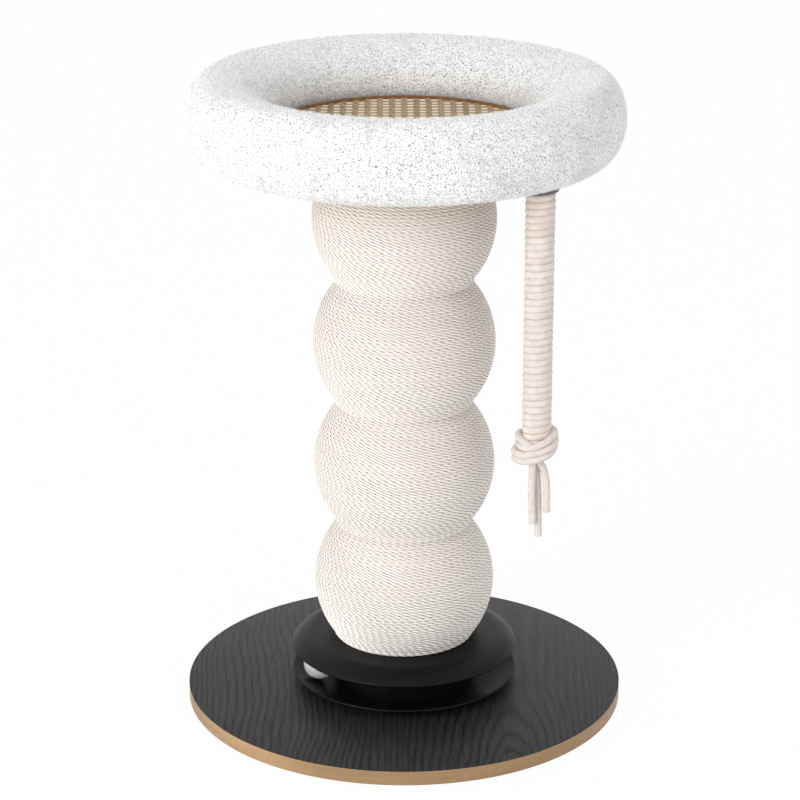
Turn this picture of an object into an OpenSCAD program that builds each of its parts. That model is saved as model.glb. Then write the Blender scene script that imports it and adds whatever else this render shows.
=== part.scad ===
// Cat scratching post on a round base: a ball track, four rope-wound bulges,
// a round plush bed on top and a hanging cord toy. Millimetres, +Z up.
// The origin is the centre of the base's footprint on the floor.

/* [Base] */
// Diameter of the base over its edge band
base_d = 400; // [340:1:460]
// Thickness of the base board's core
base_core_t = 12.4; // [11:0.1:18]
// Thickness of each laminate sheet
laminate_t = 0.8; // [0.5:0.1:1.2]
// Thickness of the edge band
edge_band_t = 1.2; // [0.8:0.1:2]
// Thickness of the anti-slip pads under the base
foot_pad_t = 1.5; // [1:0.1:4]
// Diameter of an anti-slip pad
foot_pad_d = 28; // [16:1:40]
// Number of anti-slip pads
foot_pad_count = 6; // [3:1:10]
// Distance from the base's rim to the edge of a pad
foot_pad_inset = 14; // [6:1:40]

/* [Ball track] */
// Diameter of the two track discs
track_d = 208; // [200:1:224]
// Wall of the two track discs
track_t = 2.5; // [2:0.1:4]
// Height from the base's top to the seat of the post
track_h = 45.5; // [44:0.5:52]
// Width of the lower disc's flat outside the hub
lower_seat_w = 1; // [0.5:0.5:4]
// Rise of the lower disc's rim
lower_rise = 9.5; // [6:0.5:12]
// Width of the upper disc's flat outside the hub
upper_seat_w = 17; // [1:0.5:20]
// Drop of the upper disc's rim
upper_drop = 11; // [5:0.5:12]
// Outer radius of the hub between the discs
hub_r = 65; // [62:0.5:67]
// Wall of the hub
hub_wall = 3; // [2:0.1:5]
// Radius of the hub's boss round the bolt
hub_boss_r = 10; // [8:0.5:16]
// Diameter of the ball
ball_d = 30; // [26:0.1:32]
// Running gap between the ball and what it rolls on
ball_gap = 0.3; // [0.1:0.05:0.6]
// Where the ball lies on its round, from +X
ball_azimuth = 194; // [0:1:360]

/* [Post] */
// Radius of a bulge over its rope
bulge_r = 82; // [76:0.5:90]
// Distance from one bulge's centre to the next
bulge_pitch = 114; // [104:1:124]
// Height of the lowest bulge's centre over its seat
foot_h = 54; // [48:1:57]
// Thickness of the laid rope
rope_d = 3; // [2:0.1:4]
// Thickness of the glue under the rope
glue_t = 0.6; // [0.3:0.1:1]
// How far a turn of rope stands out of the rope beside it
rope_proud = 1.4; // [0.5:0.1:2]
// Turns of rope drawn on each bulge
rope_turns = 5; // [2:1:6]
// How far the lowest turn of rope stands out from the lowest bulge's foot
foot_turn_out = 3.2; // [1:0.1:6]
// Thickness of that turn
foot_turn_h = 3.6; // [2:0.1:6]
// Thickness of a bulge's core round the tube, at the narrowest place
core_waist_t = 5.8; // [4:0.2:10]
// Wall of that tube
tube_wall = 4; // [3:0.5:8]
// Thickness of the plug in each end of the tube
plug_t = 20; // [16:1:40]

/* [Fasteners] */
// Diameter of the two bolts
bolt_d = 8; // [6:0.5:10]
// Radial clearance of a bolt in a plain hole
bolt_clear = 0.4; // [0.2:0.05:1]
// Radial clearance of a bolt in its threaded insert
thread_clear = 0.05; // [0.02:0.01:0.1]
// Width of a bolt's hexagon head across its corners
head_d = 15; // [12:0.5:18]
// Height of a bolt's head
head_h = 5.5; // [4:0.5:7]
// Diameter of a washer
washer_d = 24; // [20:0.5:28]
// Thickness of a washer
washer_t = 1.6; // [1:0.1:2.5]
// Room round a washer in its recess
recess_clear = 2; // [1:0.5:4]
// How deep a bolt's head lies in its recess
head_sink = 1; // [0.5:0.5:3]
// Length of an insert's barrel
insert_h = 12; // [8:1:14]
// Wall of an insert's barrel
insert_wall = 1.5; // [1:0.1:2.5]
// Diameter of an insert's flange
insert_flange_d = 22; // [18:0.5:26]
// Thickness of an insert's flange
insert_flange_t = 1.5; // [1:0.1:2.5]
// How far a bolt's tip stands out of its insert
bolt_tip = 2; // [0:0.5:6]

/* [Bed] */
// How far the edge of the board under the bed lies inside the ring's crest
board_in = 4; // [0:0.5:10]
// Thickness of that board
board_t = 12; // [9:0.5:18]
// Radius of the ring's highest circle
ring_crest_r = 170; // [156:1:180]
// Width of the ring's section outside its crest
ring_out = 25; // [20:0.5:40]
// Width of the ring's section inside its crest
ring_in = 55; // [40:0.5:60]
// Height of the ring from its underside
ring_h = 75; // [60:0.5:90]
// Thickness of the plush cover
cover_t = 3; // [2:0.1:5]
// How far the cover reaches below the board
cover_under = 1.8; // [0.5:0.1:3]
// Thickness of the foam pad under the mat
pad_t = 10.7; // [9.5:0.1:20]
// Gap between the pad and the ring round it
pad_gap = 1; // [0.5:0.5:4]
// Thickness of the woven mat
mat_t = 2.4; // [1.5:0.1:5]
// Width of the mat's bound edge
binding_w = 2.6; // [2:0.1:6]
// How far the bound edge stands over the mat
binding_rise = 0.8; // [0.3:0.1:2]
// Gap between the loose mat and what surrounds it
mat_gap = 0.4; // [0.3:0.1:1]

/* [Toy] */
// Direction of the toy from +X
toy_azimuth = -40; // [-90:0.5:90]
// Thickness of the toy's cord
cord_d = 5.5; // [4:0.1:5.6]
// Gap between one turn of the cord and the next
wind_gap = 0.6; // [0.45:0.05:1]
// Turns of cord wound round the toy
wind_turns = 38; // [20:1:40]
// Gap between the cords in the bundle
bundle_gap = 0.13; // [0.1:0.01:0.3]
// Gap between the bundle and the cord wound round it
wind_bed_gap = 0.4; // [0.3:0.1:1]
// Gap between the holder's mouth and the top turn of the toy
toy_top_gap = 0.7; // [0.4:0.1:3]
// Turns of cord in the knot
knot_turns = 2.2; // [1:0.1:3]
// Radius of the knot at the middle of its cord
knot_r = 16; // [15.8:0.1:20]
// Rise of the knot from its middle to its high side
knot_lift = 8.5; // [4:0.5:10]
// Gap between one turn of the knot and the next
knot_gap = 0.9; // [0.5:0.1:2]
// Height of the knot's middle over the winding's end
knot_rise = 5.5; // [4:0.5:12]

/* [Toy holder] */
// Distance from the holder's cup to the edge of its board
cup_edge = 0.5; // [0.2:0.1:10]
// Outer radius of the cup
cup_r = 15.5; // [15.2:0.1:18]
// Gap between the cup and the plush cover round it
cover_gap = 0.3; // [0.1:0.1:1]
// Wall of the cup
cup_wall = 1; // [0.8:0.1:1.2]
// How far the cup reaches below the plush
cup_drop = 4.5; // [2:0.1:6]
// Thickness of the cup's top
cup_top_t = 2; // [1.5:0.1:3]
// Depth of the cup's seat in the board
cup_seat = 1.2; // [0.5:0.1:2]
// Diameter of the cup's two screws
screw_d = 3; // [2:0.1:3.5]
// Diameter of a screw's head
screw_head_d = 5.4; // [4:0.1:6]
// Height of a screw's head
screw_head_h = 1; // [0.6:0.1:1.5]
// Length of a screw under its head
screw_l = 10; // [6:0.5:12]
// Distance of a screw from the cup's middle
screw_out = 9.5; // [8:0.5:11]
// Diameter of the toy's two pivot pins
pin_d = 2; // [1.5:0.1:2.2]
// Radial running clearance of a pivot pin
pin_clear = 0.06; // [0.02:0.01:0.1]
// Distance between the two pivots
pivot_gap = 5.8; // [5:0.1:7]
// Wall of the link round a pin
link_wall = 1; // [0.8:0.1:1.2]
// Width of the link's two eyes
link_w = 3.6; // [2:0.1:4]
// Gap between the link and what it swings past
link_gap = 0.4; // [0.3:0.1:0.6]
// Thickness of the cup's two ears
ear_t = 2; // [1.5:0.1:3]
// Gap between the link and an ear
ear_gap = 0.3; // [0.2:0.05:0.5]
// Wall of an ear under its pin
ear_wall = 0.6; // [0.4:0.1:0.8]
// Wall of the cap on top of the cords
cap_wall = 1.8; // [1:0.1:2.5]
// Thickness of the cap's floor
cap_floor_t = 2; // [1:0.1:4]
// How far the cap reaches above its pin
cap_over = 2; // [1.6:0.1:2.4]

/* [Hidden] */

$fn = 96;

// how far a cutting shape reaches past what it cuts
cut = 1;

// colours
rope_colour = [0.93, 0.90, 0.86];
cord_colour = [0.92, 0.87, 0.83];
plush_colour = [0.97, 0.97, 0.96];
black_colour = [0.07, 0.07, 0.07];
steel_colour = [0.70, 0.71, 0.72];
kraft_colour = [0.72, 0.58, 0.42];
foam_colour = [0.90, 0.88, 0.80];

// heights of the base and the track
base_r = base_d / 2;
base_core_r = base_r - edge_band_t;
base_core_z = foot_pad_t + laminate_t;
base_top_z = base_core_z + base_core_t + laminate_t;
seat_z = base_top_z + track_h;
foot_pad_round = base_r - foot_pad_inset - foot_pad_d / 2;

// the track's two arcs and the ball's place
track_r = track_d / 2;
dish_arc_steps = 16;
lower_flat_r = hub_r + lower_seat_w;
upper_flat_r = hub_r + upper_seat_w;
function arc_radius(flat, rise) = ((track_r - flat) ^ 2 + rise ^ 2) / (2 * rise);
lower_arc = arc_radius(lower_flat_r, lower_rise);
ball_r = ball_d / 2;
ball_round = hub_r + ball_r + ball_gap;
ball_reach = lower_arc - track_t - ball_r - ball_gap;
ball_z = base_top_z + lower_arc - sqrt(ball_reach ^ 2 - (ball_round - lower_flat_r) ^ 2);

// heights of the post
bulge_core_r = bulge_r - rope_d - glue_t;
neck_half = bulge_pitch / 2;
function bulge_z(i) = seat_z + foot_h + (i - 1) * bulge_pitch;
post_top_z = bulge_z(4) + neck_half;
tube_r = sqrt(bulge_core_r ^ 2 - neck_half ^ 2) - core_waist_t;
plug_r = tube_r - tube_wall;
rope_bed_r = bulge_r - rope_proud;
foot_turn_r = sqrt(rope_bed_r ^ 2 - foot_h ^ 2) + foot_turn_out;
rope_loop_rings = 18;
rope_seat_gap = 0.1;
rope_line_r = (bulge_core_r + rope_seat_gap + rope_d / 2) / cos(180 / rope_loop_rings);

// fasteners
bolt_r = bolt_d / 2;
bolt_hole_r = bolt_r + bolt_clear;
recess_r = washer_d / 2 + recess_clear;
recess_h = head_h + washer_t + head_sink;
insert_bore_r = bolt_r + thread_clear;
insert_r = insert_bore_r + insert_wall;
base_washer_z = foot_pad_t + recess_h - washer_t;
base_head_z = base_washer_z - head_h;
base_bolt_tip_z = seat_z + plug_t + insert_flange_t + bolt_tip;
lower_insert_z = seat_z + plug_t;
upper_insert_z = post_top_z - plug_t;

// the bed
board_r = ring_crest_r - board_in;
board_z = post_top_z;
board_top_z = board_z + board_t;
ring_z = board_z - cover_under;
ring_half = ring_h / 2;
ring_mid_z = ring_z + ring_half;
ring_inner_r = ring_crest_r - ring_in;
ring_arc_step = 9;
pad_r = ring_inner_r - pad_gap;
mat_z = board_top_z + pad_t + mat_gap;
binding_r = ring_inner_r - mat_gap;
mat_r = binding_r - binding_w;
top_washer_z = board_top_z;
top_head_z = top_washer_z + washer_t;
top_bolt_tip_z = upper_insert_z - insert_flange_t - bolt_tip;

// the toy's holder, in the toy's own frame: +X away from the post, +Y along the ring
toy_r = board_r - cup_r - cup_edge;
cup_z = ring_z - cup_drop;
cup_ceiling_z = board_z + cup_seat - cup_top_t;
pin_r = pin_d / 2;
pin_hole_r = pin_r + pin_clear;
link_r = pin_hole_r + link_wall;
cup_pivot_z = cup_ceiling_z - link_r - link_gap;
cap_pivot_z = cup_pivot_z - pivot_gap;
ear_y = link_w / 2 + ear_gap;
ear_half = link_r;
ear_z = cup_pivot_z - pin_r - ear_wall;
cup_pin_l = 2 * (ear_y + ear_t);

// the toy's cords
cord_r = cord_d / 2;
bundle_angles = [210, 90, 330];
bundle_line_r = (cord_d + bundle_gap) / sqrt(3);
bundle_r = bundle_line_r + cord_r;
curl_rings = 8;
wind_line_r = (bundle_r + wind_bed_gap + cord_r) / cos(180 / curl_rings);
wind_pitch = cord_d + wind_gap;
wind_top_z = cup_z - toy_top_gap - cord_r;
wind_end_z = wind_top_z - wind_turns * wind_pitch;
wind_start = 76;
core_end_z = wind_end_z - cord_r;
cap_hollow_r = bundle_r - cap_wall;
cap_top_z = cap_pivot_z + cap_over;
cap_floor_z = cap_pivot_z - link_r - link_gap;
cap_z = cap_floor_z - cap_floor_t;
knot_loop_rings = 16;
knot_pitch = cord_d + knot_gap;
knot_mid_z = wind_end_z + knot_rise;
knot_start = 200;

// the tails' routes: offsets from the toy's axis and the bundle's end, square to the room
tail_1_route = [[-3.2, -1.9, -17], [-3.6, -2.2, -29], [-3.4, -2.4, -41], [-2.9, -2.3, -52.5],
                [-2.4, -2.2, -63.5]];
tail_2_route = [[0.8, 3.6, -17], [1.8, 3.8, -29], [2.4, 3.6, -41], [2.6, 3.2, -53],
                [2.9, 2.9, -65], [3.2, 2.6, -77.5]];
tail_3_route = [[6.5, -2.2, -13], [8.8, -2.4, -23], [9.4, -2.4, -34], [9.6, -2.4, -44],
                [9.7, -2.2, -52.7]];

// a unit vector
function unit(v) = v / norm(v);

// direction of a path at its point i
function heading(path, i) =
    unit(path[min(i + 1, len(path) - 1)] - path[max(i - 1, 0)]);

// a ring of points round a path's point, turned towards the vector ref
function ring_points(p, along, ref, r, sides) =
    let (u = unit(ref - (ref * along) * along))
    let (v = cross(along, u))
    [for (k = [0 : sides - 1]) p + r * (cos(360 * k / sides) * u + sin(360 * k / sides) * v)];

// least gap of a tube to itself, over path points at least skip apart
function least_gap(path, skip, d) =
    min([for (i = [0 : len(path) - 1 - skip]) for (j = [i + skip : len(path) - 1])
        norm(path[i] - path[j])]) - d;

// the path with a straight stretch of length d added at each end
function straight_ends(path, d) =
    concat([path[0] - d * unit(path[1] - path[0])], path,
        [path[len(path) - 1] + d * unit(path[len(path) - 1] - path[len(path) - 2])]);

// one unbroken tube swept along a path of points
module swept(path, refs, r, sides) {
    rings = len(path);
    points = [for (i = [0 : rings - 1]) each ring_points(path[i], heading(path, i), refs[i], r, sides)];
    walls = [for (i = [0 : rings - 2]) for (k = [0 : sides - 1])
        let (a = i * sides + k, b = i * sides + (k + 1) % sides)
        each [[a, a + sides, b], [b, a + sides, b + sides]]];
    first = [for (k = [1 : sides - 2]) [0, k, k + 1]];
    end = (rings - 1) * sides;
    last = [for (k = [1 : sides - 2]) [end, end + k + 1, end + k]];
    polyhedron(points, concat(walls, first, last), 10);
}

// the radial direction at each point of a path round the Z axis
function radials(path) = [for (p = path) unit([p[0], p[1], 0])];

// section of a dished disc: flat out to flat, then an arc that rises to the rim
function dish(flat, rise, bore) =
    let (big = arc_radius(flat, rise))
    let (sweep = asin((track_r - flat) / big))
    let (small = big - track_t)
    concat([[bore, 0]],
        [for (i = [0 : dish_arc_steps]) let (a = sweep * i / dish_arc_steps)
            [flat + big * sin(a), big * (1 - cos(a))]],
        [for (i = [dish_arc_steps : -1 : 0]) let (a = sweep * i / dish_arc_steps)
            [flat + small * sin(a), big - small * cos(a)]],
        [[bore, track_t]]);

// section of the ring, drawn in by inset on all sides
function ring_section(inset) =
    [for (a = [-90 : ring_arc_step : 269]) [
        ring_crest_r + ((cos(a) > 0 ? ring_out : ring_in) - inset) * cos(a),
        ring_mid_z + (ring_half - inset) * sin(a)]];

module hexagon_head(z) {
    translate([0, 0, z]) cylinder(d = head_d, h = head_h, $fn = 6);
}

module disc(r, h, z, bore = 0) {
    translate([0, 0, z])
    difference() {
        cylinder(r = r, h = h);
        if (bore > 0) translate([0, 0, -cut]) cylinder(r = bore, h = h + 2 * cut);
    }
}

module foot_pads() {
    color(black_colour)
    for (i = [0 : foot_pad_count - 1])
        rotate([0, 0, 360 * (i + 0.5) / foot_pad_count])
        translate([foot_pad_round, 0, 0]) cylinder(d = foot_pad_d, h = foot_pad_t);
}

module base_bottom_laminate() {
    color(black_colour) disc(base_core_r, laminate_t, foot_pad_t, recess_r);
}

module base_core() {
    color(kraft_colour)
    difference() {
        disc(base_core_r, base_core_t, base_core_z, bolt_hole_r);
        translate([0, 0, base_core_z - cut])
            cylinder(r = recess_r, h = recess_h - laminate_t + cut);
    }
}

module base_top_laminate() {
    color([0.18, 0.18, 0.18])
        disc(base_r, laminate_t, base_core_z + base_core_t, bolt_hole_r);
}

module base_edge_band() {
    color([0.80, 0.65, 0.46])
        disc(base_r, base_core_z + base_core_t - foot_pad_t, foot_pad_t, base_core_r);
}

module base_washer() {
    color(steel_colour) disc(washer_d / 2, washer_t, base_washer_z, bolt_hole_r);
}

module base_bolt() {
    color(steel_colour) {
        hexagon_head(base_head_z);
        translate([0, 0, base_head_z]) cylinder(r = bolt_r, h = base_bolt_tip_z - base_head_z);
    }
}

module track_lower_disc() {
    color(black_colour)
    translate([0, 0, base_top_z])
    rotate_extrude() polygon(dish(lower_flat_r, lower_rise, bolt_hole_r));
}

module track_hub() {
    h = track_h - 2 * track_t;
    color(black_colour)
    translate([0, 0, base_top_z + track_t]) {
        disc(hub_r, h, 0, hub_r - hub_wall);
        disc(hub_boss_r, h, 0, bolt_hole_r);
        for (a = [45 : 90 : 315])
            rotate([0, 0, a])
            translate([hub_boss_r - cut, -hub_wall / 2, 0])
                cube([hub_r - hub_boss_r, hub_wall, h]);
    }
}

module track_upper_disc() {
    color(black_colour)
    translate([0, 0, seat_z])
    mirror([0, 0, 1])
    rotate_extrude() polygon(dish(upper_flat_r, upper_drop, bolt_hole_r));
}

module track_ball() {
    color(steel_colour)
    rotate([0, 0, ball_azimuth])
    translate([ball_round, 0, ball_z]) sphere(r = ball_r);
}

module plug(z) {
    color(kraft_colour) disc(plug_r, plug_t, z, insert_r);
}

module lower_plug() {
    plug(seat_z);
}

module upper_plug() {
    plug(post_top_z - plug_t);
}

module insert(z, up) {
    color(steel_colour)
    translate([0, 0, z])
    mirror([0, 0, up ? 0 : 1]) {
        disc(insert_flange_d / 2, insert_flange_t, 0, insert_bore_r);
        disc(insert_r, insert_h, -insert_h, insert_bore_r);
    }
}

module lower_insert() {
    insert(lower_insert_z, true);
}

module upper_insert() {
    insert(upper_insert_z, false);
}

module post_tube() {
    color(kraft_colour) disc(tube_r, post_top_z - seat_z, seat_z, plug_r);
}

// a round slice of a ball: the space between two heights about its centre
module slice(r, low, high) {
    intersection() {
        sphere(r = r);
        translate([0, 0, low]) cylinder(r = r + cut, h = high - low);
    }
}

// the lowest bulge is cut a little higher, where it stands on the track
function bulge_low(i) = i == 1 ? -foot_h : -neck_half;

module bulge_core(i) {
    color(foam_colour)
    translate([0, 0, bulge_z(i)])
    difference() {
        slice(bulge_core_r, bulge_low(i), neck_half);
        translate([0, 0, -bulge_r]) cylinder(r = tube_r, h = 2 * bulge_r);
    }
}

// the rope's line on a bulge, climbing evenly over the ball's surface
function rope_path(i) =
    let (low = asin((bulge_low(i) + rope_d) / rope_line_r))
    let (high = asin((neck_half - rope_d) / rope_line_r))
    let (last = rope_turns * rope_loop_rings)
    straight_ends([for (j = [0 : last])
        let (tilt = low + (high - low) * j / last, turn = 360 * j / rope_loop_rings)
        rope_line_r * [cos(tilt) * cos(turn), cos(tilt) * sin(turn), sin(tilt)]], rope_d);

module rope_wrap(i) {
    path = rope_path(i);
    echo(str("rope_wrap_", i, " least gap ", least_gap(path, rope_loop_rings - 2, rope_d)));
    color(rope_colour)
    translate([0, 0, bulge_z(i)]) {
        difference() {
            union() {
                slice(rope_bed_r, bulge_low(i), neck_half);
                if (i == 1) translate([0, 0, -foot_h]) cylinder(r = foot_turn_r, h = foot_turn_h);
            }
            sphere(r = bulge_core_r);
        }
        swept(path, radials(path), rope_d / 2, 6);
    }
}

module top_board() {
    color([0.85, 0.78, 0.66])
    difference() {
        disc(board_r, board_t, board_z, bolt_hole_r);
        at_toy() translate([0, 0, board_z - cut]) cylinder(r = cup_r, h = cup_seat + cut);
        at_toy() at_screws() cylinder(d = screw_d, h = screw_l + cut);
    }
}

module top_washer() {
    color(steel_colour) disc(washer_d / 2, washer_t, top_washer_z, bolt_hole_r);
}

module top_bolt() {
    color(steel_colour) {
        hexagon_head(top_head_z);
        translate([0, 0, top_bolt_tip_z]) cylinder(r = bolt_r, h = top_head_z - top_bolt_tip_z);
    }
}

module ring_filling() {
    color(foam_colour)
    difference() {
        rotate_extrude() polygon(ring_section(cover_t));
        translate([0, 0, board_z - cut]) cylinder(r = board_r, h = board_t + cut);
    }
}

module ring_cover() {
    color(plush_colour)
    difference() {
        rotate_extrude() polygon(ring_section(0));
        rotate_extrude() polygon(ring_section(cover_t));
        translate([0, 0, board_z]) cylinder(r = board_r, h = board_t);
        at_toy() translate([0, 0, ring_z - cut])
            cylinder(r = cup_r + cover_gap, h = cover_under + 2 * cut);
    }
}

module bed_pad() {
    color(foam_colour)
    difference() {
        disc(pad_r, pad_t, board_top_z);
        translate([0, 0, board_top_z - cut]) cylinder(r = recess_r, h = recess_h + cut);
    }
}

module bed_mat() {
    color([0.70, 0.58, 0.44]) disc(mat_r, mat_t, mat_z);
}

module mat_binding() {
    color([0.60, 0.42, 0.26]) disc(binding_r, mat_t + binding_rise, mat_z, mat_r);
}

// place the toy's own frame
module at_toy() {
    rotate([0, 0, toy_azimuth]) translate([toy_r, 0, 0]) children();
}

// a rod along the ring's direction, or away from the post
module cross_rod(r, l, z, outward) {
    translate([0, 0, z])
    rotate([0, 0, outward ? 90 : 0])
    rotate([90, 0, 0]) cylinder(r = r, h = l, center = true);
}

// place something at both of the cup's screws, on the cup's ceiling
module at_screws() {
    for (side = [-1, 1]) translate([0, side * screw_out, cup_ceiling_z]) children();
}

module toy_cup() {
    color([0.22, 0.22, 0.23])
    at_toy()
    difference() {
        union() {
            translate([0, 0, cup_z]) difference() {
                cylinder(r = cup_r, h = board_z + cup_seat - cup_z);
                translate([0, 0, -cut])
                    cylinder(r = cup_r - cup_wall, h = cup_ceiling_z - cup_z + cut);
            }
            for (side = [-1, 1])
                translate([-ear_half, side * (ear_y + ear_t / 2) - ear_t / 2, ear_z])
                    cube([2 * ear_half, ear_t, board_z - ear_z]);
        }
        cross_rod(pin_r, cup_pin_l + 2 * cut, cup_pivot_z, false);
        at_screws() translate([0, 0, -cut]) cylinder(d = screw_d, h = cup_top_t + 2 * cut);
    }
}

module toy_cup_screws() {
    color(steel_colour)
    at_toy()
    at_screws() {
        cylinder(d = screw_d, h = screw_l);
        translate([0, 0, -screw_head_h]) cylinder(d = screw_head_d, h = screw_head_h);
    }
}

module toy_cup_pin() {
    color(steel_colour)
    at_toy() cross_rod(pin_r, cup_pin_l, cup_pivot_z, false);
}

module toy_link() {
    color(steel_colour)
    at_toy()
    difference() {
        union() {
            cross_rod(link_r, link_w, cup_pivot_z, false);
            cross_rod(link_r, link_w, cap_pivot_z, true);
            translate([0, 0, cap_pivot_z]) cylinder(r = link_r / 2, h = pivot_gap);
        }
        cross_rod(pin_hole_r, link_w + cut, cup_pivot_z, false);
        cross_rod(pin_hole_r, link_w + cut, cap_pivot_z, true);
    }
}

module toy_cap() {
    color(steel_colour)
    at_toy()
    difference() {
        translate([0, 0, cap_z]) cylinder(r = bundle_r, h = cap_top_z - cap_z);
        translate([0, 0, cap_floor_z])
            cylinder(r = cap_hollow_r, h = cap_top_z - cap_floor_z + cut);
        cross_rod(pin_r, 2 * bundle_r + cut, cap_pivot_z, true);
    }
}

// the pin ends a little inside the cap's round wall
module toy_cap_pin() {
    color(steel_colour)
    at_toy() cross_rod(pin_r, 2 * bundle_r - ear_gap, cap_pivot_z, true);
}

module toy_core() {
    color(cord_colour)
    at_toy()
    rotate([0, 0, -toy_azimuth])
    for (a = bundle_angles)
        rotate([0, 0, a]) translate([bundle_line_r, 0, core_end_z])
            cylinder(r = cord_r, h = cap_z - core_end_z);
}

function winding_path() =
    straight_ends([for (j = [0 : wind_turns * curl_rings])
        let (turn = wind_start + 360 * j / curl_rings)
        [wind_line_r * cos(turn), wind_line_r * sin(turn),
            wind_end_z + wind_pitch * j / curl_rings]], cord_d);

module toy_winding() {
    path = winding_path();
    echo(str("toy_winding least gap ", least_gap(path, curl_rings - 1, cord_d)));
    color(cord_colour) at_toy() swept(path, radials(path), cord_r, 6);
}

// the knot's turns lie aslant: low on the left, high on the right
function knot_path() =
    let (last = round(knot_turns * knot_loop_rings))
    [for (j = [0 : last])
        let (turn = knot_start + 360 * j / knot_loop_rings)
        [knot_r * cos(turn), knot_r * sin(turn),
            knot_mid_z + knot_pitch * (knot_turns / 2 - j / knot_loop_rings)
                + knot_lift * cos(turn)]];

module toy_knot() {
    path = knot_path();
    echo(str("toy_knot least gap ", least_gap(path, knot_loop_rings - 1, cord_d)));
    color(cord_colour)
    at_toy() rotate([0, 0, -toy_azimuth]) swept(path, radials(path), cord_r, 6);
}

// a tail leaves its cord in the bundle straight down, then follows its route
module toy_tail(i, route) {
    start = bundle_line_r * [cos(bundle_angles[i]), sin(bundle_angles[i]), 0];
    path = [for (p = concat([start, start - [0, 0, cord_d]], route)) p + [0, 0, core_end_z]];
    refs = [for (p = path) [1, 0, 0]];
    color(cord_colour)
    at_toy() rotate([0, 0, -toy_azimuth]) swept(path, refs, cord_r, 8);
}

foot_pads();
base_bottom_laminate();
base_core();
base_top_laminate();
base_edge_band();
base_washer();
base_bolt();
track_lower_disc();
track_hub();
track_upper_disc();
track_ball();
lower_plug();
lower_insert();
post_tube();
upper_plug();
upper_insert();
bulge_core(1);  // bulge_core_1
bulge_core(2);  // bulge_core_2
bulge_core(3);  // bulge_core_3
bulge_core(4);  // bulge_core_4
rope_wrap(1);  // rope_wrap_1
rope_wrap(2);  // rope_wrap_2
rope_wrap(3);  // rope_wrap_3
rope_wrap(4);  // rope_wrap_4
top_board();
top_washer();
top_bolt();
ring_filling();
ring_cover();
bed_pad();
bed_mat();
mat_binding();
toy_cup();
toy_cup_screws();
toy_cup_pin();
toy_link();
toy_cap();
toy_cap_pin();
toy_core();
toy_winding();
toy_knot();
toy_tail(0, tail_1_route);  // toy_tail_1
toy_tail(1, tail_2_route);  // toy_tail_2
toy_tail(2, tail_3_route);  // toy_tail_3
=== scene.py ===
"""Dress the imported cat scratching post: base, ball track, rope post, plush bed and cord toy."""
import logging
import math
from dataclasses import dataclass
from enum import Enum

import bmesh
import bpy
import numpy as np
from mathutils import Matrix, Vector, noise


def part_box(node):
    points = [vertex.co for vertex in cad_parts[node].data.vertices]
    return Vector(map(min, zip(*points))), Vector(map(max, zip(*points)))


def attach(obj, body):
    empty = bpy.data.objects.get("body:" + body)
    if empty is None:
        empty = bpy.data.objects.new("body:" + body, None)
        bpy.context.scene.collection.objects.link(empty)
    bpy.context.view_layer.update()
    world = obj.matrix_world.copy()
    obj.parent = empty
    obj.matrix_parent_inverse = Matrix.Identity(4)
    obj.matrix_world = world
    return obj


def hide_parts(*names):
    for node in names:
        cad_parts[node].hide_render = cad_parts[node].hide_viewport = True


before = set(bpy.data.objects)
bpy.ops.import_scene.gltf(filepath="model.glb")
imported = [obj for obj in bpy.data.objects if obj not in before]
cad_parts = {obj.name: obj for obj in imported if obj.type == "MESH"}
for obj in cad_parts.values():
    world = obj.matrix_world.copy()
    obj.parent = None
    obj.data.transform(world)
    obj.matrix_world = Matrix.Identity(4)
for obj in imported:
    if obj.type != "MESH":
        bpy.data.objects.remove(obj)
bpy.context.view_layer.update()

LOG = logging.getLogger("scratching_post")
MM = 0.001
FULL_TURN = 2 * math.pi
MERGE = 1e-6
SMOOTH = 180.0
Colour = tuple[float, float, float]
Place = tuple[float, float, float]
Outline = list[tuple[float, float]]


class Body(Enum):
    """The CAD bodies that pieces ride on."""

    STAND = "stand"
    BALL = "ball"
    MAT = "mat"
    TOY = "toy"


class Signal:
    """A shader socket that takes part in Python arithmetic."""

    def __init__(self, shader: "Shader", socket: bpy.types.NodeSocket) -> None:
        """Wrap a socket.

        Args:
            shader: The shader that the socket belongs to.
            socket: The output socket.
        """
        self.shader = shader
        self.socket = socket

    def _math(self, operation: str, *values: "Signal | float") -> "Signal":
        """Add a Math node for this signal and the given values."""
        inputs = dict(enumerate((self, *values)))
        return self.shader.node("ShaderNodeMath", {"operation": operation}, inputs)

    def __add__(self, other: "Signal | float") -> "Signal":
        """Sum of two signals."""
        return self._math("ADD", other)

    def __radd__(self, other: float) -> "Signal":
        """Sum with a number on the left."""
        return self._math("ADD", other)

    def __sub__(self, other: "Signal | float") -> "Signal":
        """Difference of two signals."""
        return self._math("SUBTRACT", other)

    def __rsub__(self, other: float) -> "Signal":
        """A number less this signal."""
        return self._math("MULTIPLY", -1.0)._math("ADD", other)

    def __mul__(self, other: "Signal | float") -> "Signal":
        """Product of two signals."""
        return self._math("MULTIPLY", other)

    def __rmul__(self, other: float) -> "Signal":
        """Product with a number on the left."""
        return self._math("MULTIPLY", other)

    def __pow__(self, other: float) -> "Signal":
        """This signal to a power."""
        return self._math("POWER", other)

    def sine(self) -> "Signal":
        """Sine of this signal, in radians."""
        return self._math("SINE")

    def size(self) -> "Signal":
        """This signal without its sign."""
        return self._math("ABSOLUTE")

    def exponential(self) -> "Signal":
        """The number e to the power of this signal."""
        return self._math("EXPONENT")

    def clamped(self) -> "Signal":
        """This signal held between 0 and 1."""
        return self._math("MAXIMUM", 0.0)._math("MINIMUM", 1.0)


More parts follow.
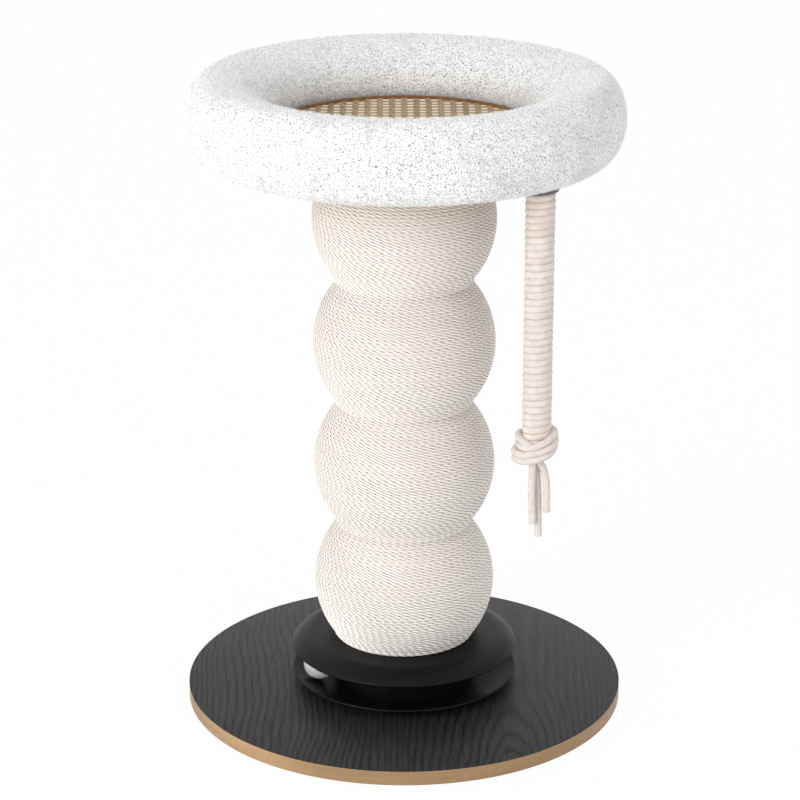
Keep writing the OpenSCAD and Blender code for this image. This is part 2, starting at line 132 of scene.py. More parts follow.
class Shader:
    """The node tree of one material, around one Principled shader."""

    def __init__(self, name: str) -> None:
        """Start an empty material.

        Args:
            name: The material's name.
        """
        self.material = bpy.data.materials.new(name)
        self.material.use_nodes = True
        self.tree = self.material.node_tree
        self.tree.nodes.clear()
        self.output = self.tree.nodes.new("ShaderNodeOutputMaterial")
        self.principled = self.tree.nodes.new("ShaderNodeBsdfPrincipled")
        self.tree.links.new(self.principled.outputs[0], self.output.inputs[0])

    def node(self, kind: str, settings: dict | None = None, inputs: dict | None = None,
             output: int | str = 0) -> Signal:
        """Add a node.

        Args:
            kind: The node's type.
            settings: Its settings, set first; "stops" holds a ramp's stops.
            inputs: Values or signals for its sockets.
            output: The output socket that is returned.

        Returns:
            The chosen output as a signal.
        """
        made = self.tree.nodes.new(kind)
        for key, value in (settings or {}).items():
            if key == "stops":
                self._set_stops(made, value)
            else:
                setattr(made, key, value)
        for key, value in (inputs or {}).items():
            self._feed(made.inputs[key], value)
        return Signal(self, made.outputs[output])

    def _feed(self, socket: bpy.types.NodeSocket, value: object) -> None:
        """Link a signal to a socket, or set the socket's value."""
        if isinstance(value, Signal):
            self.tree.links.new(value.socket, socket)
        else:
            socket.default_value = value

    @staticmethod
    def _set_stops(made: bpy.types.Node, stops: list[tuple[float, Colour]]) -> None:
        """Give a colour ramp its stops."""
        ramp = made.color_ramp
        while len(ramp.elements) < len(stops):
            ramp.elements.new(0.5)
        for element, (position, colour) in zip(ramp.elements, stops):
            element.position = position
            element.color = (*colour, 1.0)

    def set(self, **values: object) -> None:
        """Feed the Principled shader's sockets; an underscore in a name stands for a space."""
        for key, value in values.items():
            if isinstance(value, tuple) and len(value) == 3:
                value = (*value, 1.0)
            self._feed(self.principled.inputs[key.replace("_", " ")], value)

    def place(self, kind: str = "Object") -> tuple[Signal, Signal, Signal]:
        """The three numbers of a point's place, in object space or in the UV map.

        Args:
            kind: "Object" or "UV".

        Returns:
            The place's three signals.
        """
        source = self.node("ShaderNodeTexCoord", output=kind)
        apart = self.node("ShaderNodeSeparateXYZ", {}, {0: source})
        outputs = apart.socket.node.outputs
        return Signal(self, outputs[0]), Signal(self, outputs[1]), Signal(self, outputs[2])

    def grain(self, x: Signal | float, y: Signal | float, z: Signal | float = 0.0,
              detail: float = 2.0) -> Signal:
        """Noise of about 0 to 1 at a place whose numbers are already scaled.

        Args:
            x: First number.
            y: Second number.
            z: Third number.
            detail: Number of finer layers.

        Returns:
            The noise.
        """
        vector = self.node("ShaderNodeCombineXYZ", {}, {0: x, 1: y, 2: z})
        values = {"Vector": vector, "Scale": 1.0, "Detail": detail}
        return self.node("ShaderNodeTexNoise", {}, values)

    def mottle(self, scale: float, detail: float) -> Signal:
        """Noise of about 0 to 1 in object space."""
        x, y, z = self.place()
        return self.grain(x * scale, y * scale, z * scale, detail)

    def attribute(self, name: str) -> Signal:
        """A number that the mesh holds at each point."""
        return self.node("ShaderNodeAttribute", {"attribute_name": name}, output="Fac")

    def ramp(self, value: Signal, stops: list[tuple[float, Colour]]) -> Signal:
        """A colour that runs through stops as the value goes from 0 to 1."""
        return self.node("ShaderNodeValToRGB", {"stops": stops}, {0: value})

    def blend(self, share: Signal, first: Signal, second: Signal) -> Signal:
        """A colour between two others, by a share of 0 to 1."""
        mixed = self.node("ShaderNodeMix", {"data_type": "RGBA"}, {"Factor": share}, output=2)
        self.tree.links.new(first.socket, mixed.socket.node.inputs[6])
        self.tree.links.new(second.socket, mixed.socket.node.inputs[7])
        return mixed

    def relief(self, height: Signal, depth: float) -> None:
        """Raise the surface by a height signal.

        Args:
            height: The height, about 0 to 1.
            depth: What a height of 1 stands for, in metres.
        """
        values = {"Height": height, "Distance": depth, "Strength": 1.0}
        self.set(Normal=self.node("ShaderNodeBump", {}, values))


@dataclass(frozen=True)
class Finish:
    """A surface finish: the slot that names its material, and its two main colours."""

    slot: str
    dark: Colour
    light: Colour
    roughness: float = 0.6
    specular: float = 0.5
    variant: str = ""

    def material(self) -> bpy.types.Material:
        """The finish's material, made once."""
        name = f"finish_{self.slot}{self.variant}"
        known = bpy.data.materials.get(name)
        if known:
            return known
        shader = Shader(name)
        shader.set(Roughness=self.roughness, Specular_IOR_Level=self.specular)
        self.shade(shader)
        return shader.material

    def shade(self, shader: Shader) -> None:
        """Draw the finish: a fine mottle, for pieces with no pattern of their own."""
        mottle = shader.mottle(260, 3.0)
        self.tint(shader, mottle, 0.3, 0.7)
        shader.relief(mottle, 0.05 * MM)

    def tint(self, shader: Shader, tone: Signal, low: float, high: float) -> None:
        """Colour the surface from dark to light as a tone goes from a low value to a high one."""
        shader.set(Base_Color=shader.ramp(tone, [(low, self.dark), (high, self.light)]))


@dataclass(frozen=True)
class GrainedLaminate(Finish):
    """Dark laminate printed and pressed with wood grain that runs from front to back."""

    ring_pitch: float = 6.6 * MM
    arch_x: float = 100 * MM
    arch_y: float = -200 * MM
    arch_reach: float = 80 * MM
    arch_stretch: float = 0.42
    eddy_x: float = -62 * MM
    eddy_y: float = -128 * MM

    def shade(self, shader: Shader) -> None:
        """Draw the growth lines and the fine streaks, stronger at the front left."""
        x, y, _ = shader.place()
        nearness = (0.62 - x * 1.1 - y * 1.9).clamped()
        wobble = shader.grain(x * 95, y * 17, 0.3, 2.0)
        lines = self._growth_lines(shader, x, y, wobble)
        strength = shader.grain(x * 19, y * 5, 0.7, 2.0) * nearness
        pores = shader.grain(x * 1250, y * 30, 0.0, 3.0)
        fibres = shader.grain(x * 430 + wobble * 1.5, y * 21, 0.9, 1.0)
        streaks = (pores - 0.5) * 0.8 + (fibres - 0.5) * 0.35
        tone = (0.54 + streaks * (0.5 + nearness) - lines * strength * 0.72).clamped()
        self.tint(shader, tone, 0.12, 0.88)
        shader.set(Roughness=self.roughness - tone * 0.14)
        shader.relief(tone, 0.2 * MM)

    def _growth_lines(self, shader: Shader, x: Signal, y: Signal, wobble: Signal) -> Signal:
        """Lines that run front to back, arch at the front right and bend round an eddy.

        Args:
            shader: The laminate's shader.
            x: Place across the board.
            y: Place along the grain.
            wobble: Noise that makes the lines waver.

        Returns:
            The lines, 1 at the middle of each and 0 between them.
        """
        drift = shader.grain(x * 7, y * 2.6, 0.0, 2.0) - 0.5
        across = x - self.arch_x + drift * 0.07
        along = 1.0 - ((self.arch_y - y) * (1 / self.arch_reach)).exponential()
        along = along * (self.arch_reach * self.arch_stretch)
        arch = (across * across + along * along) ** 0.5
        eddy_x, eddy_y = x - self.eddy_x, (y - self.eddy_y) * 0.55
        eddy = (-900.0 * (eddy_x * eddy_x + eddy_y * eddy_y)).exponential()
        phase = arch * (FULL_TURN / self.ring_pitch) + wobble * 3.0 + eddy * 7.0
        return (phase.sine() * 0.5 + 0.5) ** 3.0


@dataclass(frozen=True)
class StreakedBand(Finish):
    """Edge band with fine streaks along its length, on a UV map in metres."""

    def shade(self, shader: Shader) -> None:
        """Draw the streaks and a few darker lines."""
        around, up, _ = shader.place("UV")
        streaks = shader.grain(around * 16, up * 1700, 0.0, 3.0)
        clouds = shader.grain(around * 7, up * 60, 0.0, 2.0)
        tone = (streaks * 0.7 + clouds * 0.3).clamped()
        self.tint(shader, tone, 0.3, 0.7)
        shader.relief(streaks, 0.03 * MM)


@dataclass(frozen=True)
class MouldedPlastic(Finish):
    """Moulded plastic with a very fine grain."""

    def shade(self, shader: Shader) -> None:
        """Draw the moulded grain and faint handling marks."""
        grain = shader.mottle(1400, 2.0)
        marks = shader.mottle(22, 3.0)
        self.tint(shader, marks, 0.35, 0.75)
        shader.set(Roughness=self.roughness + (marks - 0.5) * 0.14)
        shader.relief(grain, 0.012 * MM)


@dataclass(frozen=True)
class Metal(Finish):
    """Bare or plated metal."""

    metallic: float = 1.0

    def shade(self, shader: Shader) -> None:
        """Draw faint clouds in the metal's gloss."""
        clouds = shader.mottle(90, 3.0)
        shader.set(Metallic=self.metallic, Roughness=self.roughness + clouds * 0.06)
        self.tint(shader, clouds, 0.3, 0.7)


@dataclass(frozen=True)
class LaidRope(Finish):
    """Three-strand rope on a UV map in metres: along the rope, and round its face."""

    lay: float = 22 * MM
    rope_r: float = 1.535 * MM

    def shade(self, shader: Shader) -> None:
        """Draw painted shade in the slanting grooves between strands and in the seam between turns,
        and the yarn.
        """
        along, around, _ = shader.place("UV")
        tilt = around * (1 / self.rope_r)
        twist = (tilt + along * (FULL_TURN / self.lay)) * 3.0 + math.pi / 2
        groove = (twist.sine() * 0.5 + 0.5) ** 6.0
        seam = (tilt.size() * (2 / math.pi)) ** 5.0
        patches = shader.grain(along * 13, tilt * 0.3, 0.0, 2.0)
        yarn = shader.grain(along * 380, (around + along * 0.42) * 3300, 0.0, 2.0)
        # Painted shade: the grooves between strands and the seam between turns are darkened, more
        # in random patches.
        painted_groove_shade = groove * (0.45 + patches * 1.1) + seam * 0.42
        tone = (1.0 - painted_groove_shade + (yarn - 0.5) * 0.22).clamped()
        self.tint(shader, tone, 0.0, 0.85)
        shader.relief(yarn, 0.08 * MM)


@dataclass(frozen=True)
class BraidedCord(Finish):
    """Soft braided cord on a UV map in metres."""

    braid: float = 1.5 * MM

    def shade(self, shader: Shader) -> None:
        """Draw the crossing plaits of the braid and its soft mottle."""
        along, across, _ = shader.place("UV")
        turn = FULL_TURN / self.braid
        left = ((along + across) * turn).sine()
        right = ((along - across) * turn).sine()
        plaits = (left * right) * 0.5 + 0.5
        clouds = shader.grain(along * 150, across * 150, 0.0, 3.0)
        tone = (0.35 + plaits * 0.3 + (clouds - 0.5) * 0.9).clamped()
        self.tint(shader, tone, 0.0, 0.9)
        shader.relief(plaits * 0.5 + clouds * 0.5, 0.22 * MM)


@dataclass(frozen=True)
class CaneStrip(Finish):
    """Woven strips on a UV map in metres: brown ones, and pale ones marked by an attribute."""

    pale: Colour = (0.92, 0.82, 0.68)

    def shade(self, shader: Shader) -> None:
        """Draw long fibres and a colour that differs from strip to strip."""
        along, across, _ = shader.place("UV")
        shade = shader.attribute("strip")
        fibres = shader.grain(along * 60, across * 2600, shade * 50, 3.0)
        tone = (fibres * 0.6 + shade * 0.4).clamped()
        brown = shader.ramp(tone, [(0.25, self.dark), (0.75, self.light)])
        deep = tuple(part * 0.86 for part in self.pale)
        cream = shader.ramp(tone, [(0.2, deep), (0.6, self.pale)])
        mixed = shader.blend(shader.attribute("pale"), brown, cream)
        shader.set(Base_Color=mixed)
        shader.relief(fibres, 0.08 * MM)


@dataclass(frozen=True)
class WovenCloth(Finish):
    """Plain woven cloth on object coordinates."""

    thread: float = 0.55 * MM

    def shade(self, shader: Shader) -> None:
        """Draw warp and weft threads and a soft mottle."""
        x, y, _ = shader.place()
        turn = FULL_TURN / self.thread
        weave = (x * turn).sine() * (y * turn).sine() * 0.5 + 0.5
        clouds = shader.mottle(120, 3.0)
        tone = (weave * 0.35 + clouds * 0.65).clamped()
        self.tint(shader, tone, 0.2, 0.8)
        shader.relief(weave * 0.5 + clouds * 0.5, 0.12 * MM)


@dataclass(frozen=True)
class PlushPile(Finish):
    """Short white pile with fine grey flecks of painted shade where its fibres part.

    A fleck shows where the noise is below `sparse`, and has gone where it is above `dense`.
    """

    fleck: float = 1.1 * MM
    slant: float = 0.7
    sparse: float = 0.35
    dense: float = 0.41

    def shade(self, shader: Shader) -> None:
        """Draw the flecks of painted shade: small, sharp, slanting and strewn evenly."""
        x, y, z = (number * (1 / self.fleck) for number in shader.place())
        # Painted shade: grey flecks stand for the shadow in the gaps between fibres.
        painted_shade_flecks = shader.grain((x + z) * (self.slant * 0.7), y, (x - z) * (0.7 / self.slant), 1.0)
        self.tint(shader, painted_shade_flecks, self.sparse, self.dense)


RUBBER = Finish("foot_rubber", (0.012, 0.012, 0.012), (0.02, 0.02, 0.02), 0.85)
BACKING = Finish("backing_laminate", (0.020, 0.020, 0.020), (0.030, 0.030, 0.030), 0.5)
FIBREBOARD = Finish("fibreboard", (0.36, 0.25, 0.15), (0.46, 0.33, 0.20), 0.85)
LAMINATE = GrainedLaminate("dark_wood_laminate", (0.004, 0.004, 0.0045), (0.037, 0.037, 0.038),
                           0.50, 0.2)
EDGE_BAND = StreakedBand("tan_edge_band", (0.24, 0.143, 0.066), (0.41, 0.258, 0.125), 0.5)
ZINC = Metal("zinc_steel", (0.50, 0.51, 0.52), (0.62, 0.63, 0.64), 0.3)
BLACK = MouldedPlastic("black_plastic", (0.0018, 0.0018, 0.0019), (0.0034, 0.0034, 0.0035),
                       0.42, 0.15)
CHROME = Metal("ball_chrome", (0.90, 0.90, 0.91), (0.96, 0.96, 0.97), 0.12, metallic=0.62)
PLUG_WOOD = Finish("plug_wood", (0.42, 0.28, 0.15), (0.54, 0.38, 0.22), 0.75)
KRAFT = Finish("kraft_tube", (0.32, 0.21, 0.12), (0.40, 0.27, 0.16), 0.85)
PULP = Finish("moulded_pulp", (0.42, 0.38, 0.32), (0.52, 0.48, 0.41), 0.9)
# The rope's dark colour is the painted shade in its grooves and between its turns; its light colour
# is the rope itself.
ROPE = LaidRope("post_rope", (0.30, 0.215, 0.165), (0.90, 0.865, 0.825), 0.9, 0.2)
PLYWOOD = Finish("plywood", (0.46, 0.34, 0.21), (0.58, 0.44, 0.29), 0.75)
# The plush's dark colours are the grey of the painted shade flecks between fibres, darker and more
# of them on the skin.
PLUSH = PlushPile("white_plush", (0.46, 0.46, 0.465), (0.97, 0.97, 0.97), 0.95, 0.2)
PLUSH_BASE = PlushPile("white_plush", (0.22, 0.22, 0.225), (0.95, 0.95, 0.95), 0.95, 0.2, "_base",
                       sparse=0.38, dense=0.44)
PAD_CLOTH = WovenCloth("pad_foam", (0.70, 0.66, 0.58), (0.84, 0.80, 0.72), 0.9)
CANE = CaneStrip("woven_mat", (0.27, 0.18, 0.09), (0.48, 0.34, 0.19), 0.6, 0.3)
TAPE = WovenCloth("brown_binding", (0.15, 0.065, 0.018), (0.32, 0.15, 0.05), 0.85, 0.3)
CUP_PLASTIC = MouldedPlastic("grey_plastic", (0.10, 0.10, 0.11), (0.14, 0.14, 0.15), 0.5)
CORD = BraidedCord("toy_cord", (0.58, 0.50, 0.45), (0.88, 0.815, 0.765), 0.9, 0.2)


def rectangle(inner: float, outer: float, low: float, high: float) -> Outline:
    """The outline of an upright rectangle."""
    return [(inner, low), (outer, low), (outer, high), (inner, high)]


def polar(radius: np.ndarray | float, turn: np.ndarray, height: np.ndarray | float) -> np.ndarray:
    """Points at radii, angles and heights, with x, y and z along a last axis of their own."""
    parts = np.broadcast_arrays(radius * np.cos(turn), radius * np.sin(turn), height)
    return np.stack(parts, axis=-1)


def unit(rows: np.ndarray) -> np.ndarray:
    """Rows of numbers, each brought to length 1."""
    return rows / np.linalg.norm(rows, axis=1)[:, None]


def rounded(outline: Outline, radii: list[float], steps: int = 4) -> Outline:
    """Round the corners of a closed outline.

    Args:
        outline: Corner points.
        radii: One radius for each corner, 0 for a sharp one.
        steps: Stretches in each round corner.

    Returns:
        The outline with its round corners drawn out.
    """
    made = []
    count = len(outline)
    for i, radius in enumerate(radii):
        corner = Vector(outline[i])
        if radius <= 0:
            made.append(tuple(corner))
            continue
        before = (Vector(outline[i - 1]) - corner).normalized()
        after = (Vector(outline[(i + 1) % count]) - corner).normalized()
        half = before.angle(after) / 2
        centre = corner + (before + after).normalized() * (radius / math.sin(half))
        start = corner + before * (radius / math.tan(half)) - centre
        end = corner + after * (radius / math.tan(half)) - centre
        for k in range(steps + 1):
            share = k / steps
            made.append(tuple(centre + start.slerp(end, share) * radius))
    return made


def turned(outline: Outline, steps: int) -> bmesh.types.BMesh:
    """Turn a closed outline of (radius, height) points once round the post's axis.

    Args:
        outline: The section's points.
        steps: Stretches round the turn.

    Returns:
        The turned shape, closed and facing outwards.
    """
    shape = bmesh.new()
    points = [shape.verts.new((radius, 0.0, height)) for radius, height in outline]
    edges = [shape.edges.new((points[i - 1], points[i])) for i in range(len(points))]
    bmesh.ops.spin(shape, geom=points + edges, cent=(0, 0, 0), axis=(0, 0, 1), dvec=(0, 0, 0),
                   angle=FULL_TURN, steps=steps, use_merge=True, use_duplicate=False)
    bmesh.ops.remove_doubles(shape, verts=shape.verts, dist=MERGE)
    bmesh.ops.recalc_face_normals(shape, faces=shape.faces)
    return shape


def used_up(name: str, shape: bmesh.types.BMesh) -> bpy.types.Mesh:
    """Make a mesh of a shape, which is used up."""
    mesh = bpy.data.meshes.new(name)
    shape.to_mesh(mesh)
    shape.free()
    return mesh


def taken_up(shape: bmesh.types.BMesh, mesh: bpy.types.Mesh) -> bmesh.types.BMesh:
    """Add a mesh, which is used up, to a shape."""
    shape.from_mesh(mesh)
    bpy.data.meshes.remove(mesh)
    return shape


def piece(name: str, shape: bmesh.types.BMesh, finish: Finish, body: Body,
          replaces: tuple[str, ...] = (), crease: float = 40.0) -> bpy.types.Object:
    """Make a shape into a finished piece that rides on a body.

    Args:
        name: The piece's name.
        shape: Its shape, which is used up.
        finish: Its finish.
        body: The body that it rides on.
        replaces: The CAD nodes that it stands for.
        crease: The angle in degrees past which an edge stays sharp.

    Returns:
        The piece.
    """
    mesh = used_up(name, shape)
    mesh.shade_smooth()
    mesh.set_sharp_from_angle(angle=math.radians(crease))
    mesh.materials.append(finish.material())
    made = bpy.data.objects.new(name, mesh)
    bpy.context.scene.collection.objects.link(made)
    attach(made, body.value)
    if replaces:
        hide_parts(*replaces)
    LOG.info("%s: %d faces", name, len(mesh.polygons))
    return made


def dress(finishes: dict[str, Finish]) -> None:
    """Give CAD pieces that stay their finish.

    Args:
        finishes: The finish of each CAD node.
    """
    for node, finish in finishes.items():
        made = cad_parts[node]
        made.data.materials.clear()
        made.data.materials.append(finish.material())
        LOG.info("%s dressed", node)


def map_around(made: bpy.types.Object) -> None:
    """Give a turned piece a UV map in metres: the way round it, and the height.

    Args:
        made: The piece.
    """
    mesh = made.data
    layer = mesh.uv_layers.new(name="around")
    reach = max(vertex.co.x for vertex in mesh.vertices)
    for face in mesh.polygons:
        middle = math.atan2(face.center.y, face.center.x)
        for loop in face.loop_indices:
            place = mesh.vertices[mesh.loops[loop].vertex_index].co
            angle = math.atan2(place.y, place.x)
            angle += FULL_TURN * round((middle - angle) / FULL_TURN)
            layer.data[loop].uv = (angle * reach, place.z)


def grid_shape(points: np.ndarray, uv: np.ndarray, merge: float,
               values: dict[str, np.ndarray] | None = None) -> bmesh.types.BMesh:
    """Lay a grid of faces on given points and join its seams.

    Args:
        points: The points, as rows by columns by 3.
        uv: The map's points, as rows by columns by 2.
        merge: Points nearer than this become one.
        values: Numbers to keep at each point, by name, as rows by columns.

    Returns:
        The shape, open at its ends.
    """
    rows, columns = points.shape[:2]
    flat = bmesh.new()
    bmesh.ops.create_grid(flat, x_segments=columns - 1, y_segments=rows - 1, size=0.5)
    mesh = used_up("grid", flat)
    mesh.vertices.foreach_set("co", points.astype(np.float32).ravel())
    corner_points = np.zeros(len(mesh.loops), np.int32)
    mesh.loops.foreach_get("vertex_index", corner_points)
    layer = mesh.uv_layers.new(name="along")
    layer.data.foreach_set("uv", uv.reshape(-1, 2)[corner_points].astype(np.float32).ravel())
    for name, numbers in (values or {}).items():
        attribute = mesh.attributes.new(name, "FLOAT", "POINT")
        attribute.data.foreach_set("value", numbers.astype(np.float32).ravel())
    shape = taken_up(bmesh.new(), mesh)
    bmesh.ops.remove_doubles(shape, verts=shape.verts, dist=merge)
    bmesh.ops.dissolve_degenerate(shape, edges=shape.edges, dist=merge / 10)
    return shape


def close_ends(shape: bmesh.types.BMesh) -> bmesh.types.BMesh:
    """Fill a shape's open ends and turn its faces outwards.

    Args:
        shape: The shape.

    Returns:
        The same shape.
    """
    rims = [edge for edge in shape.edges if edge.is_boundary]
    bmesh.ops.holes_fill(shape, edges=rims, sides=0)
    bmesh.ops.recalc_face_normals(shape, faces=shape.faces)
    return shape


def smooth_route(points: list[Place], step: float) -> np.ndarray:
    """Draw a smooth curve through a route's points.

    Args:
        points: The route's points.
        step: The greatest distance between the curve's own points.

    Returns:
        The curve's points.
    """
    route = np.array(points, float)
    padded = np.vstack([2 * route[0] - route[1], route, 2 * route[-1] - route[-2]])
    made = []
    for i in range(1, len(padded) - 2):
        a, b, c, d = padded[i - 1:i + 3]
        count = max(1, math.ceil(np.linalg.norm(c - b) / step))
        for t in np.arange(count) / count:
            made.append(0.5 * (2 * b + (c - a) * t + (2 * a - 5 * b + 4 * c - d) * t ** 2
                               + (3 * b - a - 3 * c + d) * t ** 3))
    made.append(route[-1])
    return np.array(made)


def swept(path: np.ndarray, width: float, height: float, sides: int,
          upwards: np.ndarray | None = None) -> bmesh.types.BMesh:
    """Sweep a round or flattened section along a path.

    Args:
        path: The path's points.
        width: Half the section's size across the upward direction.
        height: Half the section's size along the upward direction.
        sides: Sides of the section.
        upwards: The section's upward direction at each point, or None to carry one along.

    Returns:
        The closed shape, with a UV map in metres.
    """
    ahead = unit(np.gradient(path, axis=0))
    if upwards is None:
        upwards = np.empty_like(path)
        up = np.cross(ahead[0], (0.31, 0.95, 0.05))
        for i, direction in enumerate(ahead):
            up = up - direction * (up @ direction)
            up /= np.linalg.norm(up)
            upwards[i] = up
    upwards = unit(upwards - ahead * (upwards * ahead).sum(1)[:, None])
    sideways = np.cross(ahead, upwards)
    turn = np.linspace(0, FULL_TURN, sides + 1)
    points = (path[None] + width * np.cos(turn)[:, None, None] * sideways[None]
              + height * np.sin(turn)[:, None, None] * upwards[None])
    length = np.concatenate([[0], np.cumsum(np.linalg.norm(np.diff(path, axis=0), axis=1))])
    uv = np.stack(np.meshgrid(length, turn * (width + height) / 2), axis=-1)
    return close_ends(grid_shape(points, uv, MERGE))


def aimed(name: str, data: bpy.types.Camera | bpy.types.Light, place: Place,
          target: Place) -> bpy.types.Object:
    """Put a camera or a lamp in the scene, facing a target."""
    made = bpy.data.objects.new(name, data)
    made.location = place
    made.rotation_euler = (Vector(target) - Vector(place)).to_track_quat("-Z", "Y").to_euler()
    bpy.context.scene.collection.objects.link(made)
    return made


@dataclass
class Camera:
    """The camera, fitted to the photograph's ellipses and outlines."""

    place: Place = (-3.8 * MM, -2381.1 * MM, 1122.7 * MM)
    target: Place = (-3.8 * MM, 0.0, 286.1 * MM)
    lens: float = 125.9
    sensor: float = 36.0

    def build(self) -> None:
        """Make the scene's camera."""
        data = bpy.data.cameras.new("camera")
        data.lens = self.lens
        data.sensor_width = self.sensor
        data.clip_end = 50.0
        bpy.context.scene.camera = aimed("camera", data, self.place, self.target)


@dataclass
class Studio:
    """The pale floor, the lamps and the world."""

    floor_reach: float = 6.0
    key_place: Place = (-1.75, -1.9, 1.1)
    key_size: float = 1.3
    key_power: float = 33.0
    fill_place: Place = (1.6, -2.2, 1.2)
    fill_size: float = 1.6
    fill_power: float = 5.8
    spot_place: Place = (-0.50, -0.92, 0.10)
    spot_radius: float = 0.06
    spot_power: float = 60.0
    spot_angle: float = 6.0
    aim: Place = (0.0, 0.0, 0.3)
    ambient: float = 0.80
    floor_glow: float = 0.965

    def build(self) -> None:
        """Make the floor, the lamps and the world."""
        self._floor()
        self._lamp("key_lamp", self.key_place, self.key_size, self.key_power)
        self._lamp("fill_lamp", self.fill_place, self.fill_size, self.fill_power)
        self._spot()
        self._world()
        bpy.context.scene.view_settings.view_transform = "Standard"

    def _floor(self) -> None:
        """Make the floor, which shows white and keeps a light shadow."""
        shape = bmesh.new()
        bmesh.ops.create_grid(shape, x_segments=1, y_segments=1, size=self.floor_reach)
        mesh = used_up("floor", shape)
        made = bpy.data.objects.new("floor", mesh)
        bpy.context.scene.collection.objects.link(made)
        shader = Shader("floor_paint")
        shader.set(Base_Color=(0.88, 0.88, 0.88), Roughness=0.9)
        seen = self._seen_directly(shader)
        glow = shader.node("ShaderNodeEmission", {}, {"Color": (1, 1, 1, 1), "Strength": 1.0})
        plain = Signal(shader, shader.principled.outputs[0])
        inputs = {0: seen * self.floor_glow, 1: plain, 2: glow}
        mixed = shader.node("ShaderNodeMixShader", {}, inputs)
        shader.tree.links.new(mixed.socket, shader.output.inputs[0])
        mesh.materials.append(shader.material)

    @staticmethod
    def _seen_directly(shader: Shader) -> Signal:
        """1 for a ray from the camera, a reflection or a clear material."""
        names = ("Is Camera Ray", "Is Glossy Ray", "Is Transmission Ray")
        rays = [shader.node("ShaderNodeLightPath", output=name) for name in names]
        return (rays[0] + rays[1] + rays[2]).clamped()

    def _lamp(self, name: str, place: Place, size: float, power: float) -> None:
        """Make a soft lamp that faces the post.

        Args:
            name: The lamp's name.
            place: Where it stands.
            size: Its diameter.
            power: Its power in watts.
        """
        data = bpy.data.lights.new(name, "AREA")
        data.shape = "DISK"
        data.size = size
        data.energy = power
        aimed(name, data, place, self.aim)

    def _spot(self) -> None:
        """Make the small low lamp that picks out the ball."""
        low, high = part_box("track_ball")
        data = bpy.data.lights.new("ball_lamp", "SPOT")
        data.energy = self.spot_power
        data.spot_size = math.radians(self.spot_angle)
        data.spot_blend = 1.0
        data.shadow_soft_size = self.spot_radius
        aimed("ball_lamp", data, self.spot_place, (low + high) / 2)

    def _world(self) -> None:
        """Make the world: white to the eye, softer as a light."""
        world = bpy.data.worlds.new("studio")
        world.use_nodes = True
        bpy.context.scene.world = world
        tree = world.node_tree
        tree.nodes.clear()
        path = tree.nodes.new("ShaderNodeLightPath")
        seen = tree.nodes.new("ShaderNodeMath")
        seen.operation = "MAXIMUM"
        tree.links.new(path.outputs["Is Camera Ray"], seen.inputs[0])
        tree.links.new(path.outputs["Is Glossy Ray"], seen.inputs[1])
        strength = tree.nodes.new("ShaderNodeMapRange")
        strength.inputs["To Min"].default_value = self.ambient
        strength.inputs["To Max"].default_value = 1.0
        tree.links.new(seen.outputs[0], strength.inputs["Value"])
        background = tree.nodes.new("ShaderNodeBackground")
        background.inputs["Color"].default_value = (1.0, 1.0, 1.0, 1.0)
        tree.links.new(strength.outputs[0], background.inputs["Strength"])
        output = tree.nodes.new("ShaderNodeOutputWorld")
        tree.links.new(background.outputs[0], output.inputs[0])


@dataclass
class BaseBoard:
    """The round board under everything, with its laminate and edge band."""

    bore: float = 4.4 * MM
    top_round: float = 0.1 * MM
    edge_round: float = 0.45 * MM
    steps: int = 240

    def build(self) -> None:
        """Make the top laminate and the edge band, and dress the CAD pieces that stay."""
        low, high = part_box("base_top_laminate")
        top = rectangle(self.bore, high.x, low.z, high.z)
        shape = turned(rounded(top, [0, 0, self.top_round, 0]), self.steps)
        piece("top_laminate", shape, LAMINATE, Body.STAND, ("base_top_laminate",))
        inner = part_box("base_core")[1].x
        low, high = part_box("base_edge_band")
        band = rectangle(inner, high.x, low.z, high.z)
        shape = turned(rounded(band, [0, self.edge_round, 0, 0]), self.steps)
        map_around(piece("edge_band", shape, EDGE_BAND, Body.STAND, ("base_edge_band",)))
        dress({"foot_pads": RUBBER, "base_bottom_laminate": BACKING, "base_core": FIBREBOARD,
               "base_washer": ZINC, "base_bolt": ZINC})


